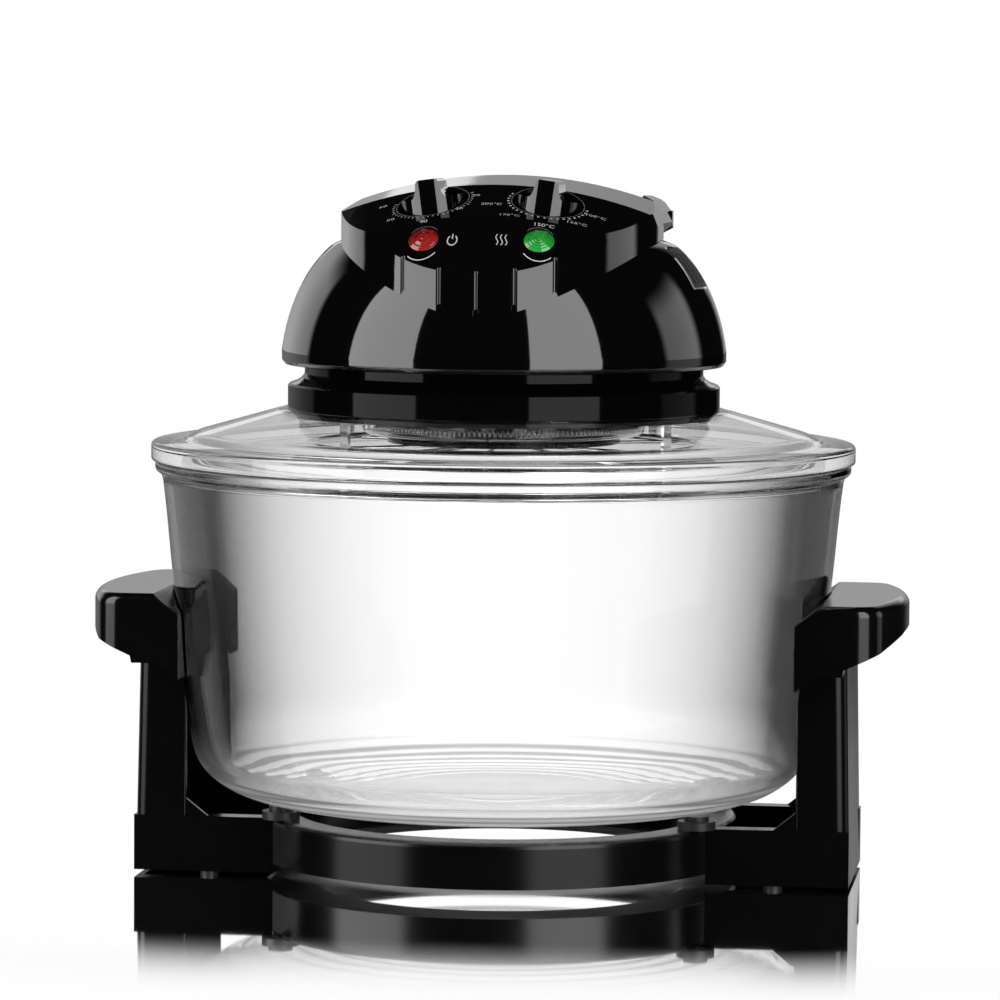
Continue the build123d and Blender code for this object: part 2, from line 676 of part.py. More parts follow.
with BuildPart() as handle_reach:
    # upright bosses beside the block, then arms that lean in along its shoulders
    lean = [(65.0, 336.2), (63.8, 335.2), (70.0, 329.8), (bail_in_x, 325.0),
            (bail_in_x, 312.0)]
    boss = [(bail_in_x, 333.6), (bail_in_x, 312.0)]
    for s in (-1, 1):
        for inner, y0, y1 in ((boss, 12, 34), (lean, 33, 86)):
            with BuildSketch(Plane.XZ.offset(-y0)) as strip:
                with BuildLine():
                    outer = bail_shoulder if inner is lean else bail_shoulder[:4]
                    Polyline(*[(s * x, z) for x, z in outer],
                             *[(s * x, z) for x, z in inner], close=True)
                make_face()
            extrude(strip.sketch, amount=-(y1 - y0))
    # rear bar
    plan_prism([(bail_out_x, 64), (bail_out_x, 70), (62, bail_rear)], 300, 329)
    plan_prism([(bail_in_x, 60), (bail_in_x, 67), (57, 88)], 300, 329, Mode.SUBTRACT)
    with BuildSketch(Plane.XY.offset(290)) as outline:
        with BuildLine():
            Polyline((-90, 0), (90, 0), (90, 60), (bail_out_x, 70), (62, bail_rear),
                     (-62, bail_rear), (-bail_out_x, 70), (-90, 60), close=True)
        make_face()
    extrude(outline.sketch, amount=80, mode=Mode.INTERSECT)

with BuildPart() as carry_handle:
    with BuildSketch(Plane.YZ) as arm:
        with BuildLine():
            Polyline((bail_y, bail_z - bail_boss_r), (bail_y, bail_z + bail_boss_r), (36, 337.2),
                     (66, 336.6), (80, 332.4), (bail_rear, 328), (bail_rear, 316),
                     (88, 315.0), (66, 321.5), (40, 320.2), close=True)
        make_face()
        with Locations((bail_y, bail_z)):
            Circle(bail_boss_r)
    extrude(arm.sketch, amount=bail_out_x + 1, both=True)
    add(handle_reach.part, mode=Mode.INTERSECT)
    pin_axis = Plane(origin=(-80, bail_y, bail_z), x_dir=(0, 1, 0), z_dir=(1, 0, 0))
    pin_x = bail_out_x - pin_cap
    rod_on(pin_axis, pin_r, 80 - pin_x, 80 + pin_x, Mode.SUBTRACT)

with BuildPart() as handle_pins:
    rod_on(pin_axis, pin_r, 80 - pin_x, 80 + cam_x1)
    rod_on(pin_axis, pin_r, 80 + 59, 80 + pin_x)
    lobe = Plane(origin=(-80, bail_y, bail_z - cam_off), x_dir=(0, 1, 0), z_dir=(1, 0, 0))
    rod_on(lobe, cam_r, 80 + cam_x0, 80 + cam_x1)

plunger_top = bail_z - cam_r - cam_off - cam_gap
with BuildPart() as switch_plunger:
    rod(-58, bail_y, 309, plunger_top, 1.6)

with BuildPart() as microswitch:
    block(-62.9, -53, 14, 30, 303, plunger_top - 1.1)
    block(-block_narrow_x + block_wall, -62.9, 14.4, 29.6, 318.2, plunger_top - 1.1)
    rod(-58, bail_y, 307, plunger_top + 1, 1.6 + run_fit, Mode.SUBTRACT)

# ------------------------------------------------------------ heater and air
pan_r = collar_r + 2.0
pan_lip_z = lid_hub_z - lid_t - 2.3
with BuildPart() as reflector_pan:
    lathe([
        (20, pan_roof_z + pan_t), (20, pan_roof_z), (collar_r - 20, pan_roof_z),
        (collar_r - 14, 236), (collar_r - 14, pan_lip_z), (pan_r, pan_lip_z),
        (pan_r, lid_hub_z - lid_t), (collar_r - 11.3, lid_hub_z - lid_t),
        (collar_r - 11.3, 237), (collar_r - 19, pan_roof_z + pan_t),
    ])
    for k in range(3):
        x, y = polar(screw_ring_r, screw_a0 + 120 * k)
        rod(x, y, pan_lip_z - 1, pan_lip_z + 5, screw_r, Mode.SUBTRACT)

with BuildPart() as collar_screws:
    for k in range(3):
        x, y = polar(screw_ring_r, screw_a0 + 120 * k)
        rod(x, y, pan_lip_z - 2.2, pan_lip_z, screw_head_r)
        rod(x, y, pan_lip_z, lid_hub_z + 5, screw_r)

with BuildPart() as guard_ring:
    with BuildSketch(Plane.XZ) as wire:
        with Locations((guard_r, guard_z)):
            Circle(guard_wire_r)
    revolve(wire.sketch, axis=Axis.Z)
    for a in (-45, 62, 135, -118):
        x, y = polar(guard_r, a)
        with Locations(Location((x, y, (guard_z + pan_lip_z) / 2), (0, 0, a))):
            Box(strap_w, strap_t, pan_lip_z - guard_z)

with BuildPart() as guard_mesh:
    for r in (guard_r - 75, guard_r - 50, guard_r - 25):
        with BuildSketch(Plane.XZ) as wire:
            with Locations((r, guard_z - 0.6)):
                Circle(1.0)
        revolve(wire.sketch, axis=Axis.Z)
    for k in range(6):
        a = 30 * k
        spoke = Plane(origin=(0, 0, guard_z - 0.6),
                      x_dir=(0, 0, 1), z_dir=(cos(radians(a)), sin(radians(a)), 0))
        rod_on(spoke, 1.0, -(guard_r - guard_wire_r), guard_r - guard_wire_r)
    with BuildSketch(Plane.XZ) as wire:
        with Locations((guard_r, guard_z)):
            Circle(guard_wire_r)
    revolve(wire.sketch, axis=Axis.Z, mode=Mode.SUBTRACT)

with BuildPart() as fan_shroud:
    rod(0, 0, guard_z + 1.2, pan_roof_z, shroud_r)
    rod(0, 0, 200, 250, shroud_r - shroud_t, Mode.SUBTRACT)
    for k in range(24):
        x, y = polar(shroud_r, 15 * k)
        with Locations(Location((x, y, guard_z + 16), (0, 0, 15 * k))):
            Box(7, 8, 12, mode=Mode.SUBTRACT)

lamp_gap = 16.0         # half the angle left open at the rear of the lamp
lamp_a0 = 90 + lamp_gap


def hoop(r, a0, sweep, sketch_fn):
    """Sweep a small section along a level arc of radius r at the lamp's height."""
    start = Plane(origin=(r * cos(radians(a0)), r * sin(radians(a0)), lamp_z),
                  x_dir=(cos(radians(a0)), sin(radians(a0)), 0),
                  z_dir=(sin(radians(a0)), -cos(radians(a0)), 0))
    with BuildSketch(start) as section:
        sketch_fn()
    revolve(section.sketch, axis=Axis.Z, revolution_arc=sweep)


def tube_section():
    Circle(lamp_tube_r)
    Circle(lamp_tube_r - 1.0, mode=Mode.SUBTRACT)


with BuildPart() as lamp_tube:
    hoop(lamp_r, lamp_a0, 360 - 2 * lamp_gap, tube_section)

with BuildPart() as lamp_coil:
    hoop(lamp_r, lamp_a0, 360 - 2 * lamp_gap, lambda: Circle(filament_r))

with BuildPart() as lamp_caps:
    for a0, sweep in ((lamp_a0 - 8, 8), (90 - lamp_gap, 8)):
        hoop(lamp_r, a0, sweep, lambda: Rectangle(cap_side, cap_side))
    for a0 in (lamp_a0 - 4, 90 - lamp_gap + 4):
        rod(lamp_r * cos(radians(a0)), lamp_r * sin(radians(a0)), lamp_z, pan_roof_z, 2.6)

with BuildPart() as lamp_clips:
    for a in (0, 120, 240):
        x, y = polar(lamp_r, a)
        rod(x, y, lamp_z + lamp_tube_r, pan_roof_z, 1.4)

with BuildPart() as motor_shaft:
    rod(0, 0, 215.6, 302, axle_r)

with BuildPart() as convection_fan:
    rod(0, 0, 217.0, 226.5, 9)
    rod(0, 0, 225.0, 226.5, fan_r)
    for k in range(8):
        with Locations(Location((0, 0, 0), (0, 0, 45 * k))):
            with Locations(Location((27, 0, 221), (0, 0, 22))):
                Box(32, 1.4, 8)
    rod(0, 0, 210, 230, axle_r, Mode.SUBTRACT)

with BuildPart() as cooling_fan:
    rod(0, 0, 289.5, 299.5, 8)
    rod(0, 0, 289.5, 291.0, cool_r)
    for k in range(9):
        with Locations(Location((0, 0, 0), (0, 0, 40 * k))):
            with Locations(Location((25, 0, 295.2), (0, 0, 25))):
                Box(32, 1.4, 8.6)
    rod(0, 0, 280, 310, axle_r, Mode.SUBTRACT)

motor_z = deck2_z + deck2_t
with BuildPart() as motor_rotor:
    rod(0, 0, motor_z + 7.5, motor_z + 23.5, 14.5)
    rod(0, 0, motor_z, motor_z + 40, axle_r, Mode.SUBTRACT)

with BuildPart() as motor_stator:
    block(-36, 36, -22, 40, motor_z + 6.5, motor_z + 24.5)
    rod(0, 0, 200, 300, 15.0, Mode.SUBTRACT)
    block(-18, 18, 20, 34, 200, 300, Mode.SUBTRACT)
    for s in (-1, 1):
        rod(s * 30, 0, 200, 300, post_r, Mode.SUBTRACT)

with BuildPart() as motor_coil:
    block(-17.5, 17.5, 28, 46, motor_z + 1, motor_z + 30)
    block(-18, 18, 34, 40, motor_z + 6.5, motor_z + 24.5, Mode.SUBTRACT)
    block(-30, 30, 20, 28.001, 200, 300, Mode.SUBTRACT)

with BuildPart() as motor_frame:
    for z0 in (motor_z + 3.5, motor_z + 24.5):
        block(-36, 36, -11, 11, z0, z0 + 3)
    for s in (-1, 1):
        rod(s * 30, 0, motor_z, motor_z + 29, post_r)
        rod(s * 30, 0, motor_z, motor_z + 3.5, 5)
    rod(0, 0, motor_z + 1, motor_z + 6.5, 8)
    rod(0, 0, motor_z + 24.5, motor_z + 30, 8)
    rod(0, 0, motor_z - 5, motor_z + 60, axle_r + run_fit, Mode.SUBTRACT)

with BuildPart() as terminal_block:
    block(-26, 26, 56, 70, motor_z, motor_z + 12)
    for k in range(4):
        rod(-19.5 + 13 * k, 63, motor_z + 8, motor_z + 20, 3.2, Mode.SUBTRACT)

with BuildPart() as thermal_cutout:
    rod(58, -22, pan_roof_z + pan_t, pan_roof_z + 7.5, 8)
    rod(58, -22, pan_roof_z + 7.5, pan_roof_z + 10, 5)

with BuildPart() as cord_gland:
    rod_on(gland_axis, gland_r, 8, 27)
    rod_on(gland_axis, 9.0, 20.2, 23.2)
    add(dome_volume.part, mode=Mode.SUBTRACT)
    rod_on(gland_axis, gland_r, 8, 20.4)
    rod_on(gland_axis, gland_bore_r, 0, 40, Mode.SUBTRACT)

# -------------------------------------------------------------------- output
pieces = {
    "base_ring": base_ring, "ring_cover": ring_cover, "side_frame_left": side_frame_left,
    "side_frame_right": side_frame_right, "grip_left": grip_left,
    "grip_right": grip_right, "bowl_pads": bowl_pads, "floor_feet": floor_feet,
    "grip_screws": grip_screws, "glass_bowl": glass_bowl, "glass_lid": glass_lid,
    "collar_ring": collar_ring, "neck_housing": neck_housing, "dome_cover": dome_cover,
    "vent_grille_left": vent_grille_left, "vent_grille_right": vent_grille_right,
    "control_panel": control_panel, "top_cover": top_cover, "power_lens": power_lens,
    "heat_lens": heat_lens, "indicator_lamps": indicator_lamps, "timer_unit": timer_unit,
    "thermostat_unit": thermostat_unit, "timer_knob": timer_knob,
    "thermostat_knob": thermostat_knob, "timer_spindle": timer_spindle,
    "thermostat_spindle": thermostat_spindle, "carry_handle": carry_handle,
    "handle_pins": handle_pins, "switch_plunger": switch_plunger,
    "microswitch": microswitch, "reflector_pan": reflector_pan,
    "collar_screws": collar_screws, "guard_ring": guard_ring, "guard_mesh": guard_mesh,
    "fan_shroud": fan_shroud,
    "lamp_tube": lamp_tube, "lamp_coil": lamp_coil, "lamp_caps": lamp_caps,
    "lamp_clips": lamp_clips, "motor_shaft": motor_shaft,
    "convection_fan": convection_fan, "cooling_fan": cooling_fan,
    "motor_rotor": motor_rotor, "motor_stator": motor_stator, "motor_coil": motor_coil,
    "motor_frame": motor_frame, "terminal_block": terminal_block,
    "thermal_cutout": thermal_cutout, "cord_gland": cord_gland,
}
for name, piece in pieces.items():
    piece.part.label = name
    export_step(piece.part, f"parts/{name}.step")
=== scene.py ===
"""Looks of a countertop halogen oven: clear glass bowl and lid, a black gloss head
and a satin black stand. Shapes are drawn in mm and put into meshes in metres, +Z up;
the control panel faces -Y."""

from math import asin, cos, pi, radians, sin, tan

import bmesh
import bpy
import numpy as np
from mathutils import Matrix, Vector


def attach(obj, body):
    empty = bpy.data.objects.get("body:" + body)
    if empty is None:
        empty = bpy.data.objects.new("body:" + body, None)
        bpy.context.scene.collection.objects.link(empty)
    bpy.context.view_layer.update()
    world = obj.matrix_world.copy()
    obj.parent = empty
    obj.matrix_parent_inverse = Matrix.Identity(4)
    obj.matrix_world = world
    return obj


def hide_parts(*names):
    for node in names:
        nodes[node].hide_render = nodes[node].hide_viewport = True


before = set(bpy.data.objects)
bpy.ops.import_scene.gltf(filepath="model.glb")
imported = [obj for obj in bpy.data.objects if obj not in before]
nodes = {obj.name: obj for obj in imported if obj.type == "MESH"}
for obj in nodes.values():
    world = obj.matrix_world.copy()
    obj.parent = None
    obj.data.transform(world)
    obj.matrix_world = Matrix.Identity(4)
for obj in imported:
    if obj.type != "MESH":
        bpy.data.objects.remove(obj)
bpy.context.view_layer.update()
MM = 0.001


# ---------------------------------------------------------------- node wiring
class Wire:
    """A socket in a node tree; arithmetic on it adds Math nodes."""

    def __init__(self, tree, socket=None):
        self.tree, self.socket = tree, socket

    def node(self, kind, inputs=None, out=0, **settings):
        """Add any shader node, with its settings and its inputs' values or links."""
        made = self.tree.nodes.new("ShaderNode" + kind)
        for key, value in settings.items():
            setattr(made, key, value)
        for key, value in (inputs or {}).items():
            if isinstance(value, Wire):
                self.tree.links.new(value.socket, made.inputs[key])
            else:
                made.inputs[key].default_value = value
        return Wire(self.tree, made.outputs[out] if made.outputs else None)

    def math(self, operation, a, b):
        return self.node("Math", {0: a, 1: b}, operation=operation)

    def __add__(self, other):
        return self.math("ADD", self, other)

    def __radd__(self, other):
        return self.math("ADD", other, self)

    def __sub__(self, other):
        return self.math("SUBTRACT", self, other)

    def __rsub__(self, other):
        return self.math("SUBTRACT", other, self)

    def __mul__(self, other):
        return self.math("MULTIPLY", self, other)

    def __rmul__(self, other):
        return self.math("MULTIPLY", other, self)

    def __pow__(self, other):
        return self.math("POWER", self, other)

    def ramp(self, low, high, to_low=0.0, to_high=1.0):
        """Smoothly from to_low at low to to_high at high."""
        return self.node("MapRange", {"Value": self, "From Min": low, "From Max": high,
                                      "To Min": to_low, "To Max": to_high},
                         interpolation_type="SMOOTHSTEP")

    def blend(self, a, b):
        """Colour a where this is 0, colour b where it is 1."""
        return self.node("Mix", {0: self, 6: a, 7: b}, out=2, data_type="RGBA")

    def axis(self, index):
        return self.node("SeparateXYZ", {0: self}, out=index)

    def noise(self, scale, detail=3.0):
        return self.node("TexNoise", {"Vector": self, "Scale": scale, "Detail": detail})

    def bump(self, strength, distance):
        return self.node("Bump", {"Height": self, "Strength": strength,
                                  "Distance": distance})


def grey(level):
    return (level, level, level, 1.0)


def start_material(name):
    """A cleared material, with the wire to build on and its object-space places."""
    mat = bpy.data.materials.new(name)
    mat.use_nodes = True
    mat.node_tree.nodes.clear()
    wire = Wire(mat.node_tree)
    place = wire.node("TexCoord", out=3)
    return mat, wire, place


def finish_material(mat, wire, shader):
    wire.node("OutputMaterial", {"Surface": shader})
    return mat


def plastic(name, colour, rough, grain, height, coat=0.0, spec=0.5):
    """Moulded plastic: faint cloudy roughness and a fine moulded grain."""
    mat, wire, place = start_material(name)
    cloud = place.noise(28.0, 4.0)
    fine = place.noise(grain, 2.0)
    shade = cloud.blend(colour, tuple(c * 1.25 for c in colour[:3]) + (1.0,))
    shader = wire.node("BsdfPrincipled", {
        "Base Color": shade, "Roughness": rough * (0.8 + cloud * 0.4),
        "Normal": fine.bump(0.25, height), "Specular IOR Level": spec,
        "Coat Weight": coat, "Coat Roughness": 0.03, "IOR": 1.5})
    return finish_material(mat, wire, shader)


def metal(name, colour, rough, stretch=(1, 1, 1)):
    """Bare or plated metal with fine marks drawn out along one way."""
    mat, wire, place = start_material(name)
    drawn = place.node("Mapping", {"Vector": place, "Scale": stretch})
    marks = drawn.noise(260.0, 4.0)
    shader = wire.node("BsdfPrincipled", {
        "Base Color": marks.blend(colour, tuple(c * 0.82 for c in colour[:3]) + (1.0,)),
        "Metallic": 1.0, "Roughness": rough * (0.7 + marks * 0.6),
        "Normal": marks.bump(0.12, 0.0001)})
    return finish_material(mat, wire, shader)


def glass(name, painted_edge_shade, bend=1.0, wave=0.0, gloss=1.0, floor=None):
    """Clear glass with painted edge shade: its colour darkens by the given amount times facing **
    bend, 0.92 at most.

    Down between the two floor heights the painted edge shade falls to 0.1 and a faint painted
    glow comes in."""
    mat, wire, place = start_material(name)
    facing = wire.node("LayerWeight", {"Blend": 0.5}, out=1)
    # a faint painted glow at the floor of the bowl
    painted_glow = grey(0.0)
    if floor:
        height = place.axis(2)
        painted_edge_shade = height.ramp(*floor, 0.1, painted_edge_shade)
        level = height.ramp(*floor, 1.0, 0.0)
        painted_glow = wire.node("CombineColor", {0: level, 1: level, 2: level})
    # painted edge shade: the colour darkens towards grazing view
    kept = wire.math("MAXIMUM", 1 - facing ** bend * painted_edge_shade, 0.08)
    shade = wire.node("CombineColor", {0: kept, 1: kept, 2: kept})
    swell = place.noise(9.0, 1.0)
    shader = wire.node("BsdfPrincipled", {
        "Base Color": shade, "Roughness": 0.0, "Transmission Weight": 1.0,
        "IOR": 1.47, "Specular Tint": grey(gloss), "Emission Color": painted_glow,
        "Emission Strength": 0.08 if floor else 0.0, "Normal": swell.bump(0.1, wave)})
    return finish_material(mat, wire, shader)


def lens_plastic(name, deep, glow):
    """Tinted moulding with a dark rim: deeper colour in the hollows of its rings."""
    mat, wire, place = start_material(name)
    facing = wire.node("LayerWeight", {"Blend": 0.4}, out=1)
    cloud = place.noise(420.0, 2.0)
    shade = (facing * 1.1 + cloud * 0.5 - 0.2).ramp(0.1, 0.75).blend(glow, deep)
    shader = wire.node("BsdfPrincipled", {
        "Base Color": shade, "Roughness": 0.06, "IOR": 1.5,
        "Emission Color": shade, "Emission Strength": 0.05, "Coat Weight": 0.6,
        "Coat Roughness": 0.03})
    return finish_material(mat, wire, shader)


black_gloss = plastic("black_gloss_plastic", (0.0012, 0.0012, 0.0014, 1), 0.045, 900.0,
                      0.00001, coat=0.5)
black_satin = plastic("black_satin_plastic", (0.0016, 0.0016, 0.0018, 1), 0.2, 900.0,
                      0.00001, spec=0.4)
black_soft_gloss = plastic("black_soft_gloss_plastic", (0.0016, 0.0016, 0.0018, 1), 0.15,
                           900.0, 0.00001, coat=0.25)
# a shaded copy of the gloss black for the collar and neck: the same colour with its reflections
# cut well down, as painted shade
shaded_black_copy = plastic("plastic_with_painted_shade", (0.0012, 0.0012, 0.0014, 1), 0.06, 900.0,
                      0.00001, spec=0.1)
black_matte = plastic("black_matte_plastic", (0.028, 0.028, 0.030, 1), 0.5, 1600.0, 0.0001)
rubber = plastic("soft_rubber", (0.016, 0.016, 0.016, 1), 0.42, 1200.0, 0.0001)
cream = plastic("cream_plastic", (0.72, 0.68, 0.56, 1), 0.4, 900.0, 0.00005)
ceramic = plastic("white_ceramic", (0.82, 0.80, 0.75, 1), 0.55, 700.0, 0.0001)
ink = plastic("pale_ink", (0.30, 0.30, 0.30, 1), 0.5, 900.0, 0.00001)
# darker grey: print on the dial rings, and also a painted highlight along the lens rims
ink_and_rim_highlight = plastic("grey_print_and_highlight", (0.09, 0.09, 0.09, 1), 0.4, 900.0, 0.00001)
# lighter grey: a painted reflection of the lens bezels
painted_reflection_grey = plastic("painted_reflection_grey", (0.42, 0.42, 0.42, 1), 0.4, 900.0, 0.00001)
chrome = metal("bright_plated_wire", (0.86, 0.86, 0.87, 1), 0.07)
steel = metal("brushed_steel", (0.6, 0.6, 0.6, 1), 0.28, (1, 1, 8))
aluminium = metal("rolled_aluminium", (0.78, 0.78, 0.79, 1), 0.24, (1, 6, 1))
tungsten = metal("wound_wire", (0.86, 0.85, 0.84, 1), 0.3)
brass = metal("turned_brass", (0.72, 0.55, 0.26, 1), 0.25, (1, 1, 6))
copper = metal("enamelled_copper", (0.72, 0.36, 0.18, 1), 0.3, (1, 8, 1))
laminations = metal("varnished_laminations", (0.24, 0.24, 0.26, 1), 0.45, (1, 1, 30))
bowl_glass = glass("bowl_glass", 3.0, 1.7, gloss=0.06, floor=(0.036, 0.078))
lid_glass = glass("lid_glass", 0.4, gloss=0.35, wave=0.0004)
quartz = glass("quartz_tube", 0.2)
neon = glass("small_lamp_glass", 0.3)
dark_steel = metal("heat_dark_steel", (0.035, 0.035, 0.037, 1), 0.14, (1, 1, 8))
red_lens = lens_plastic("red_lens", (0.05, 0.001, 0.001, 1), (0.24, 0.014, 0.014, 1))
green_lens = lens_plastic("green_lens", (0.002, 0.05, 0.004, 1), (0.018, 0.27, 0.035, 1))

finishes = {
    black_gloss: ["dome_cover", "control_panel", "top_cover", "timer_knob",
                  "thermostat_knob", "carry_handle"],
    black_satin: ["base_ring", "side_frame_left", "side_frame_right"],
    black_soft_gloss: ["grip_left", "grip_right"],
    shaded_black_copy: ["collar_ring", "neck_housing"],
    black_matte: ["ring_cover", "vent_grille_left", "vent_grille_right", "microswitch",
                  "thermal_cutout", "cord_gland"],
    rubber: ["bowl_pads", "floor_feet"],
    cream: ["timer_unit", "thermostat_unit", "switch_plunger", "terminal_block"],
    ceramic: ["lamp_caps"],
    chrome: ["guard_ring", "guard_mesh"],
    steel: ["grip_screws", "handle_pins", "collar_screws", "lamp_clips", "motor_shaft",
            "motor_frame"],
    aluminium: ["convection_fan", "cooling_fan", "motor_rotor"],
    dark_steel: ["reflector_pan", "fan_shroud"],
    tungsten: ["lamp_coil"],
    brass: ["timer_spindle", "thermostat_spindle"],
    copper: ["motor_coil"],
    laminations: ["motor_stator"],
    bowl_glass: ["glass_bowl"],
    lid_glass: ["glass_lid"],
    quartz: ["lamp_tube"],
    neon: ["indicator_lamps"],
    red_lens: ["power_lens"],
    green_lens: ["heat_lens"],
}
for mat, names in finishes.items():
    for name in names:
        slots = nodes[name].data.materials
        slots.clear()
        slots.append(mat)


# -------------------------------------------------------------------- shapes
def smooth_curve(points, count):
    """Points along a natural cubic spline through the given ones, by chord length."""
    p = np.asarray(points, float)
    t = np.concatenate([[0], np.cumsum(np.hypot(*np.diff(p, axis=0).T))])
    h = np.diff(t)
    n = len(p)
    system, right = np.eye(n), np.zeros((n, 2))
    for i in range(1, n - 1):
        system[i, i - 1:i + 2] = h[i - 1], 2 * (h[i - 1] + h[i]), h[i]
        right[i] = 6 * ((p[i + 1] - p[i]) / h[i] - (p[i] - p[i - 1]) / h[i - 1])
    bend = np.linalg.solve(system, right)
    s = np.linspace(0, t[-1], count)
    k = np.clip(np.searchsorted(t, s, "right") - 1, 0, n - 2)
    a, b = ((t[k + 1] - s) / h[k])[:, None], ((s - t[k]) / h[k])[:, None]
    reach = (h[k] ** 2)[:, None] / 6
    return a * p[k] + b * p[k + 1] + ((a ** 3 - a) * bend[k] + (b ** 3 - b) * bend[k + 1]) * reach


def rounded(points, radius, steps=5):
    """An open polyline with each inner corner rounded by a quadratic curve."""
    p = [np.asarray(q, float) for q in points]
    out = [p[0]]
    for before, corner, after in zip(p, p[1:], p[2:]):
        u, v = before - corner, after - corner
        reach = min(radius, np.linalg.norm(u) * 0.45, np.linalg.norm(v) * 0.45)
        u, v = corner + u / np.linalg.norm(u) * reach, corner + v / np.linalg.norm(v) * reach
        for s in np.linspace(0, 1, steps):
            out.append((1 - s) ** 2 * u + 2 * s * (1 - s) * corner + s ** 2 * v)
    return np.array(out + [p[-1]])


def add_mesh(name, vertices, faces, mat, body, flat=False):
    mesh = bpy.data.meshes.new(name)
    mesh.from_pydata([tuple(v) for v in vertices], [], [tuple(f) for f in faces])
    mesh.validate()
    edit = bmesh.new()
    edit.from_mesh(mesh)
    bmesh.ops.remove_doubles(edit, verts=edit.verts, dist=1e-7)
    bmesh.ops.recalc_face_normals(edit, faces=edit.faces)
    edit.to_mesh(mesh)
    edit.free()
    mesh.polygons.foreach_set("use_smooth", [not flat] * len(mesh.polygons))
    mesh.materials.append(mat)
    obj = bpy.data.objects.new(name, mesh)
    bpy.context.collection.objects.link(obj)
    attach(obj, body)
    return obj


def grid_faces(rows, columns, wrap_rows=False, wrap_columns=False):
    """Quads over a grid of points stored row by row."""
    i = np.arange(rows if wrap_rows else rows - 1)[:, None]
    j = np.arange(columns if wrap_columns else columns - 1)[None]
    i2, j2 = (i + 1) % rows, (j + 1) % columns
    return np.stack([i * columns + j, i2 * columns + j, i2 * columns + j2,
                     i * columns + j2], -1).reshape(-1, 4)


def lathe(name, profile, mat, body, steps=240, closed=True):
    """Profile (radius, height) in mm turned about the oven's axis."""
    profile = np.asarray(profile) * MM
    angle = np.linspace(0, 2 * pi, steps, endpoint=False)
    r, z = profile[:, :1], profile[:, 1:]
    grid = np.stack([r * np.sin(angle), -r * np.cos(angle), z + 0 * angle], -1)
    return add_mesh(name, grid.reshape(-1, 3),
                    grid_faces(len(profile), steps, closed, True), mat, body)


def tube(name, path, radius, mat, body, sides=8):
    """A round wire along a path in mm: rings square to the path's own direction."""
    path = np.asarray(path, float)
    ahead = np.gradient(path, axis=0)
    ahead /= np.linalg.norm(ahead, axis=1)[:, None]
    side = np.cross(ahead, [0.13, 0.21, 0.97])
    side /= np.linalg.norm(side, axis=1)[:, None]
    over = np.cross(ahead, side)
    turn = np.linspace(0, 2 * pi, sides, endpoint=False)[None, :, None]
    rings = path[:, None] + radius * (np.cos(turn) * side[:, None] + np.sin(turn) * over[:, None])
    return add_mesh(name, rings.reshape(-1, 3) * MM,
                    grid_faces(len(path), sides, False, True), mat, body)


# ------------------------------------------------------------- bowl and lid
mouth_r, lip_r, lip_z = 169.4, 173.2, 205.0
bowl_outer = smooth_curve([
    (0, 35.0), (60, 35.0), (92, 35.2), (115, 37.0), (130, 40.2), (137.5, 43.2),
    (143.2, 46.8), (148.2, 51.2), (151.9, 56.6), (154.6, 65.0), (157.4, 84.0),
    (161.4, 120.0), (165.6, 160.0), (168.4, 188.0), (mouth_r, 196.0)], 120)
wall = 4.0
run = np.gradient(bowl_outer, axis=0)
run /= np.linalg.norm(run, axis=1)[:, None]
bowl_inner = bowl_outer + wall * np.stack([-run[:, 1], run[:, 0]], 1)
bowl_inner[0, 0] = 0
# faint rings pressed into the floor of the bowl: a sine along the radius, which comes in
# outside radius 60 and dies away below height 80
ring_pitch, ring_depth = 11, 0.12
radius, rise = bowl_inner.T.copy()
share = np.clip((radius - 60) / 30, 0, 1) * np.clip((80 - rise) / 12, 0, 1)
bowl_inner[:, 1] += ring_depth * share * np.sin(radius * 2 * pi / ring_pitch + rise / 3)
lip = rounded([bowl_outer[-1], (mouth_r + 0.8, 198.6), (lip_r, 200.6), (lip_r, lip_z),
               (mouth_r - wall, lip_z), bowl_inner[-1]], 1.6)
bowl = lathe("bowl", np.concatenate([bowl_outer, lip[1:-1], bowl_inner[::-1]]), bowl_glass,
             "bowl")
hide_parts("glass_bowl")

lid_r, skirt_r, lid_z, lid_top, hub_z, hub_r = 175.2, 163.6, 205.3, 215.6, 231.3, 106.0
lid_loop = rounded([
    (lid_r, 209), (lid_r, lid_top - 1), (skirt_r - 4.6, lid_top + 0.5),
    (skirt_r - 11, 219.2), (110, hub_z), (hub_r, hub_z), (hub_r, hub_z - 3.5),
    (110, hub_z - 3.5), (skirt_r - 12.4, 215.9), (skirt_r - 7.6, 212.8),
    (skirt_r - 3.4, 212), (skirt_r - 3.4, 199.5), (skirt_r, 199.5), (skirt_r, lid_z),
    (lid_r, lid_z), (lid_r, 209)], 2.2, 6)
lid = lathe("lid", lid_loop[:-1], lid_glass, "head")
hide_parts("glass_lid")

# head dome: a turned shell, open at the vents and under the panel block
dome_r, dome_wall, dome_foot = 110.6, 2.8, 253.2
vent_low, vent_high, vent_front, vent_rear = 293, 312, 75, 118
dome_line = np.array([(dome_r - inset, z) for inset, z in (
    (1.7, dome_foot), (0.1, 255.4), (0.0, 260.0), (0.8, 265.0), (2.7, 274.5), (4.5, 280.0),
    (6.6, 286.0), (9.4, 292.0), (14.0, 300.0), (20.0, 307.6), (26.6, 313.4),
    (34.6, 316.4), (50.6, 318.2), (80.6, 318.8))])
# the flank is a quartic by chord length, so that its curve is even
flank = dome_line[2:11]
chord = np.concatenate([[0], np.cumsum(np.hypot(*np.diff(flank, axis=0).T))])
even = np.linspace(0, chord[-1], 900)
fair = [np.polyval(np.polyfit(chord, flank[:, k], 4), even) for k in (0, 1)]
dome_curve = np.concatenate([dome_line[:2], np.stack(fair, 1), dome_line[11:]])


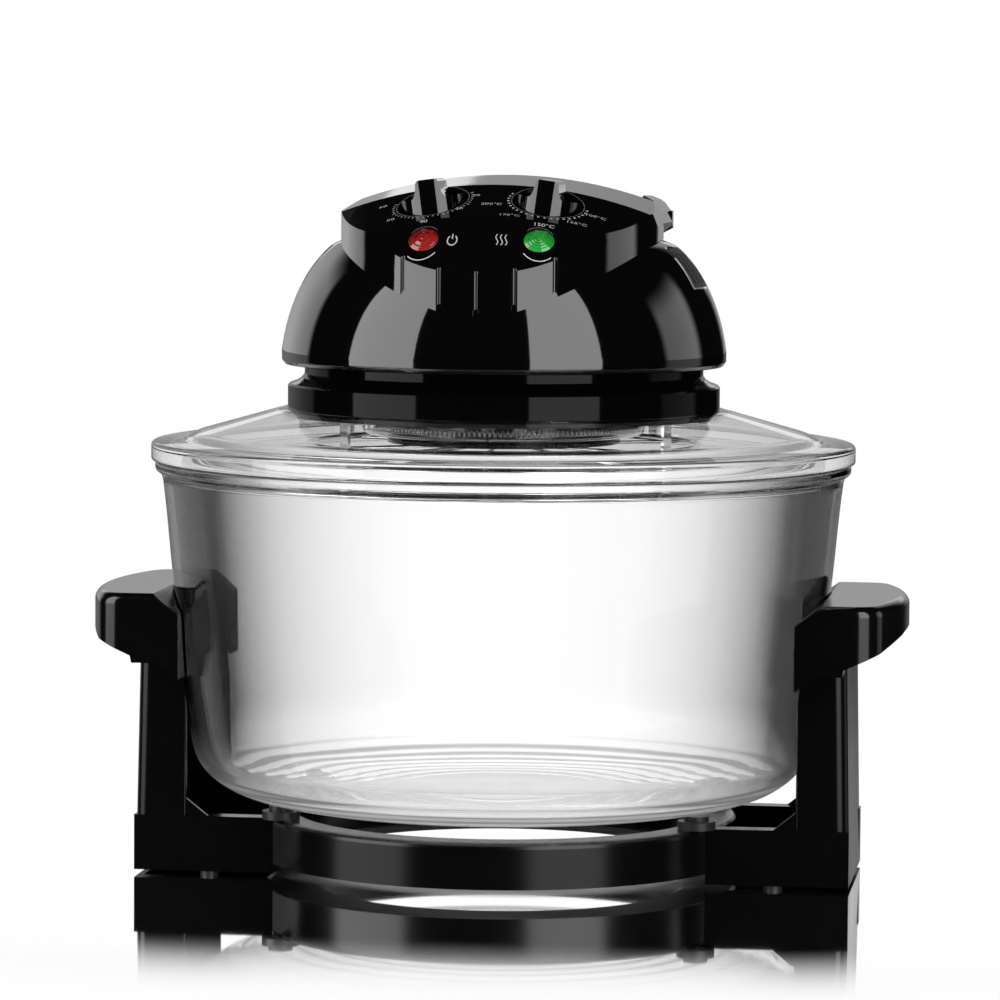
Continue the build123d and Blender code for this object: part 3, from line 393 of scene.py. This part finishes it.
def dome_shell():
    """Skins r(z) and r(z) less the wall, turned, with openings where the vents sit."""
    z = np.concatenate([np.linspace(dome_foot, 256, 6), np.linspace(257, vent_low, 34)[:-1],
                        np.linspace(vent_low, vent_high, 22), [313.0, 314.2, 315.5, 316.6]])
    outer = np.interp(z, dome_curve[:, 1], dome_curve[:, 0])
    slope = np.gradient(outer, z)
    lean = np.sqrt(1 + slope ** 2)
    inner = outer - dome_wall / lean
    inner_z = np.clip(z + dome_wall * slope / lean, dome_foot, None)
    angle = np.unique(np.concatenate([
        np.arange(-180, 180, 1.5), [-vent_rear, -vent_front, vent_front, vent_rear]]))
    turn = np.radians(angle)
    skins = [np.stack([r[:, None] * np.sin(turn), -r[:, None] * np.cos(turn),
                       h[:, None] + 0 * turn], -1)
             for r, h in ((outer, z), (inner, inner_z))]
    rows, columns = len(z), len(angle)
    size = rows * columns

    # a cell spans from its own height and angle to the next ones
    low, side = z[:-1, None], np.abs(angle[None] + 0.01)
    window = (low >= vent_low) & (low < vent_high) & (side > vent_front) & (side < vent_rear)
    skin = grid_faces(rows, columns, False, True)[~window.ravel()]
    faces = [skin, skin + size]

    def across_wall(first, second):
        """Quads from the outer skin to the inner one, along two rows of points."""
        return np.stack([first, second, second + size, first + size], -1)

    around = np.arange(columns)
    for row in (0, rows - 1):
        faces.append(across_wall(row * columns + around,
                                 row * columns + (around + 1) % columns))
    # each side of a window cell: the step to the cell beside it, and the side's two corners
    for step, first, second in (((-1, 0), (0, 0), (0, 1)), ((1, 0), (1, 0), (1, 1)),
                                ((0, -1), (0, 0), (1, 0)), ((0, 1), (0, 1), (1, 1))):
        beside = np.roll(window, (-step[0], -step[1]), (0, 1))
        i, j = np.nonzero(window & ~beside)
        faces.append(across_wall(*((i + di) * columns + (j + dj) % columns
                                   for di, dj in (first, second))))
    return np.concatenate([skin.reshape(-1, 3) for skin in skins]), np.concatenate(faces)


points, faces = dome_shell()
dome = add_mesh("dome", points * MM, faces, black_gloss, "head")
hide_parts("dome_cover")

# wound filament inside the quartz hoop
hoop_r, hoop_z, turns, wind_r, wire_r = 66.0, 219.5, 150, 1.55, 0.3
along = np.linspace(radians(106), radians(434), turns * 12)
wind = np.linspace(0, turns * 2 * pi, turns * 12)
off = hoop_r + wind_r * np.cos(wind)
coil = tube("filament", np.stack([off * np.cos(along), off * np.sin(along),
                                  hoop_z + wind_r * np.sin(wind)], 1), wire_r, tungsten,
            "head", 6)
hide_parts("lamp_coil")

# ---------------------------------------------------------------- the panel
break_y, break_z, crown_z = -78.5, 328.1, 127.0
dial_slope, lens_slope = radians(20), radians(44.5)
dial_x, dial_y, lens_x, lens_y = 28.2, -55.3, 28.0, -87.9


def panel_height(x, y):
    """Height of the crowned panel over a plan point: a level-turned two-slope line."""
    slope = np.where(np.asarray(y) > break_y, tan(dial_slope), tan(lens_slope))
    rho = break_z + (np.asarray(y) - break_y) * slope - crown_z
    return crown_z + np.sqrt(rho ** 2 - np.asarray(x) ** 2)


def drape(name, u, v, faces, centre, mat, lift=0.08):
    """A thin mark on the panel, print or painted light: plan points laid on its crown."""
    x, y = centre[0] + u, centre[1] + v
    points = np.stack([x, y, panel_height(x, y) + lift], -1)
    mark = add_mesh(name, points * MM, faces, mat, "head")
    return mark


def arc_band(name, r0, r1, a0, a1, centre, mat, squash=1.0):
    """Part of a flat ring, angles clockwise from the rear; squash 1 is round in plan."""
    steps = max(3, int(abs(a1 - a0) / 3))
    angle = np.radians(np.linspace(a0, a1, steps))[None]
    r = np.array([r0, (r0 + r1) / 2, r1])[:, None]
    return drape(name, (r * np.sin(angle)).ravel(),
                 (r * np.cos(angle)).ravel() * squash, grid_faces(3, steps), centre, mat)


def words(name, body, size, centre, mat, squash=1.0):
    """Plain figures laid on the panel, centred at a plan point."""
    text = bpy.data.curves.new(name, "FONT")
    text.body, text.size = body, size
    text.align_x, text.align_y = "CENTER", "CENTER"
    text.resolution_u = 3
    holder = bpy.data.objects.new(name, text)
    bpy.context.collection.objects.link(holder)
    bpy.context.view_layer.update()
    flat = bpy.data.meshes.new_from_object(holder)
    flat_points = np.array([v.co[:] for v in flat.vertices])
    faces = [tuple(p.vertices) for p in flat.polygons]
    bpy.data.objects.remove(holder)
    bpy.data.curves.remove(text)
    bpy.data.meshes.remove(flat)
    return drape(name, flat_points[:, 0] * 1.15, flat_points[:, 1] * squash, faces, centre,
                 mat)


# each dial: its side, its name, the ticks' first and last angle, step and half width, and
# its figures as (figure, across, towards the rear, squash) from the figures' own centre
figure_row, figure_x, figure_size = -59.5, 27.7, 3.5
ring_r, tick_r = 17.5, 19.3
dials = (
    (-1, "timer", "", (68, 290, 7.4, 0.7),
     ((20, 20.1, 7.7, 1), (30, 14.1, -8.2, 1), (40, -1.7, -19.6, 0.6), (50, -19.1, -10.6, 1),
      (60, -25.9, 9.7, 1))),
    (1, "thermostat", "°C", (94, 290, 9.3, 1.7),
     ((100, 24.3, -1.2, 1), (125, 16.6, -14.1, 1), (150, 1.6, -21, 0.6),
      (175, -15.9, -16.1, 0.8), (200, -26.2, -3.3, 1))))
for side, dial, unit, (first, last, step, half), figures in dials:
    centre = (side * dial_x, dial_y)
    arc_band(f"{dial}_ring", ring_r, ring_r + 0.4, 0, 360, centre, ink_and_rim_highlight)
    for k, angle in enumerate(np.arange(first, last, step)):
        longer = 0.7 if k % 6 == 0 and dial == "timer" else 0.0
        arc_band(f"{dial}_tick_{k}", tick_r - 0.6, tick_r + 0.5 + longer, angle - half,
                 angle + half, centre, ink)
    for figure, across, rearward, squash in figures:
        words(f"{dial}_{figure}", f"{figure}{unit}", figure_size,
              (side * figure_x + across, figure_row + rearward), ink, squash)

# painted light round the lenses: a bright arc in front, a painted reflection of the bezel, and a
# thin arc close behind, a painted highlight on the rim
for side, lens_name in ((-1, "power"), (1, "heat")):
    centre = (side * lens_x, lens_y)
    arc_band(f"{lens_name}_painted_bezel_reflection", 9.3, 9.75, 136, 224, centre, painted_reflection_grey)
    arc_band(f"{lens_name}_painted_rim_glint", 8.0, 8.25, 310, 410, centre, ink_and_rim_highlight, 0.74)

# plain signs beside the lenses: a power ring with its bar, and three rising heat waves
power_sign, heat_sign, stroke = (-13.8, -89.6), (10.0, -89.4), 0.28
arc_band("power_sign_ring", 2.0, 2.6, 35, 325, power_sign, ink)
drape("power_sign_bar", np.array([-0.3, 0.3, 0.3, -0.3]), np.array([0.6, 0.6, 3.0, 3.0]),
      [(0, 1, 2, 3)], power_sign, ink)
wave_gap, wave_swing, wave_length = 2.2, 0.6, 5.0
for k in (-1, 0, 1):
    s = np.linspace(0, 1, 12)
    bend = wave_swing * np.sin(s * 2 * pi) + k * wave_gap
    drape(f"heat_sign_{k + 1}", np.concatenate([bend - stroke, bend + stroke]),
          (np.concatenate([s, s]) - 0.5) * wave_length, grid_faces(2, 12), heat_sign, ink)


def ringed_lens(name, node, x, pitch, mat):
    """Face of a lamp lens: height crown (1 - r^2 / R^2) + depth cos(2 pi r / pitch)."""
    lens_r, ringed_r, crown, depth, sunk = 7.3, 6.2, 1.55, 0.09, 3.5
    rho = break_z + (lens_y - break_y) * tan(lens_slope) - crown_z
    lean = asin(x / rho)
    normal = np.array([sin(lean) * cos(lens_slope), -sin(lens_slope),
                       cos(lean) * cos(lens_slope)])
    across = np.array([cos(lean), 0, -sin(lean)])
    up_slope = np.cross(normal, across)
    origin = np.array([x, lens_y, crown_z + rho * cos(lean)])
    r = np.linspace(0, lens_r, 60)[:, None, None]
    turn = np.linspace(0, 2 * pi, 72, endpoint=False)[None, :, None]
    rings = depth * np.cos(2 * pi * r / pitch) * (r < ringed_r)
    height = crown * (1 - (r / lens_r) ** 2) + rings
    points = origin + r * (np.cos(turn) * across + np.sin(turn) * up_slope) + height * normal
    foot = points[-1:] - sunk * normal
    grid = np.concatenate([points, foot, foot * 0.02 + 0.98 * (origin - sunk * normal)])
    cap = add_mesh(name, grid.reshape(-1, 3) * MM, grid_faces(62, 72, False, True), mat,
                   "head")
    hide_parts(node)


ringed_lens("power_lens_face", "power_lens", -lens_x, 2.9, red_lens)
ringed_lens("heat_lens_face", "heat_lens", lens_x, 1.5, green_lens)


# ------------------------------------------------------------ stage and light
def soft_floor():
    """Pale polished floor: a clear reflection under the oven that dies away in front.

    It is a mirror laid over a matt floor, and plain white from 0.42 m outwards."""
    mat, wire, place = start_material("pale_floor")
    mottle = place.noise(6.0, 2.0)
    east, north = place.axis(0), place.axis(1)
    far = (east * east * 0.7 + north * north) ** 0.5
    matt = wire.node("BsdfPrincipled", {
        "Base Color": grey(0.95), "Roughness": 0.6 + mottle * 0.1,
        "Specular IOR Level": 0.1})
    mirror = wire.node("BsdfGlossy", {"Color": grey(1.0), "Roughness": 0.03})
    clear = north.ramp(-0.39, -0.22) * far.ramp(0.085, 0.1, 0.45, 1.0)
    polished = wire.node("MixShader", {0: clear, 1: matt, 2: mirror})
    white = wire.node("Emission", {"Color": grey(1.0), "Strength": 1.0})
    mixed = wire.node("MixShader", {0: far.ramp(0.26, 0.42), 1: polished, 2: white})
    # a polished part of the oven sees a darker floor than the camera does
    sheen = wire.node("BsdfGlossy", {"Color": grey(0.35), "Roughness": 0.05})
    bounced = wire.node("LightPath", out=3) * (1 - wire.node("LightPath", out=6))
    finish_material(mat, wire, wire.node("MixShader", {0: bounced, 1: mixed, 2: sheen}))
    mesh = bpy.data.meshes.new("floor")
    mesh.from_pydata([(-8, -8, 0), (8, -8, 0), (8, 8, 0), (-8, 8, 0)], [], [(0, 1, 2, 3)])
    mesh.materials.append(mat)
    floor = bpy.data.objects.new("floor", mesh)
    bpy.context.collection.objects.link(floor)


soft_floor()

world = bpy.data.worlds.new("studio")
bpy.context.scene.world = world
world.use_nodes = True
world.node_tree.nodes.clear()
sky = Wire(world.node_tree)
ray = sky.node("TexCoord", out=0)
east, north, up = ray.axis(0), ray.axis(1), ray.axis(2)
# what polished faces see: a white wall behind, brighter low down and to the left, and a
# strip at the right; dark elsewhere. The camera and clear glass see plain white.
wall_behind = north.ramp(0.37, 0.45) * (1 - east.ramp(0.10, 0.30))
strip = north.ramp(0.13, 0.22) * (1 - north.ramp(0.58, 0.68)) * east.ramp(0.5, 0.7)
ahead_low = up.ramp(0.108, 0.122) * (1 - up.ramp(0.177, 0.186)) * east.ramp(-0.45, -0.28)
wall_level = sky.math("MAXIMUM", ahead_low, east.ramp(-0.75, -0.25, 1.0, 0.4))
reflected = (wall_behind * wall_level + strip) * (1 - up.ramp(0.35, 0.55)) + 0.004
plain = sky.node("LightPath", out=0)
through = sky.node("LightPath", out=6)
glossy = sky.node("LightPath", out=3)
seen = sky.math("MAXIMUM", plain, through)
level = seen + (1 - seen) * (glossy * reflected + (1 - glossy) * 0.2)
sky.node("OutputWorld", {"Surface": sky.node("Background", {
    "Color": grey(1.0), "Strength": level})})


def softbox(name, azimuth, distance, height, aim_height, wide, tall, radiance):
    """A soft lamp aimed at the oven's axis; azimuth 0 is in front, positive to the right."""
    lamp = bpy.data.lights.new(name, "AREA")
    lamp.shape, lamp.size, lamp.size_y = "RECTANGLE", wide, tall
    lamp.energy = radiance * pi * wide * tall
    obj = bpy.data.objects.new(name, lamp)
    bpy.context.collection.objects.link(obj)
    a = radians(azimuth)
    obj.location = (distance * sin(a), -distance * cos(a), height)
    aim = Vector((0, 0, aim_height)) - obj.location
    obj.rotation_euler = aim.to_track_quat("-Z", "Y").to_euler()
    return obj


softbox("left_softbox", -58, 2.0, 1.8, 1.8, 1.4, 3.6, 3.6)
softbox("right_softbox", 39, 2.1, 1.8, 1.8, 1.42, 3.6, 3.6)
overhead = softbox("overhead_softbox", 150, 0.5, 2.2, 0.2, 1.4, 1.0, 2.0)
overhead.visible_glossy = False

# ------------------------------------------------------------------- camera
# viewing distance, azimuth to the right, height, pitch down, roll, side shift
distance, azimuth, height = 2.5, radians(7.5), 0.37573
pitch, roll, aside = radians(4.356), radians(0.401), -0.001553
right = Vector((cos(azimuth), sin(azimuth), 0))
ahead = Vector((-sin(azimuth) * cos(pitch), cos(azimuth) * cos(pitch), -sin(pitch)))
upward = right.cross(ahead)
tilted_right = right * cos(roll) + upward * sin(roll)
tilted_up = upward * cos(roll) - right * sin(roll)
stand_at = Vector((distance * sin(azimuth), -distance * cos(azimuth), height)) + right * aside
lens = bpy.data.cameras.new("camera")
lens.lens, lens.sensor_width, lens.clip_end = 180.9, 36.0, 50.0
camera = bpy.data.objects.new("camera", lens)
bpy.context.collection.objects.link(camera)
camera.matrix_world = Matrix((
    (tilted_right.x, tilted_up.x, -ahead.x, stand_at.x),
    (tilted_right.y, tilted_up.y, -ahead.y, stand_at.y),
    (tilted_right.z, tilted_up.z, -ahead.z, stand_at.z), (0, 0, 0, 1)))
bpy.context.scene.camera = camera
bpy.context.scene.view_settings.view_transform = "Standard"
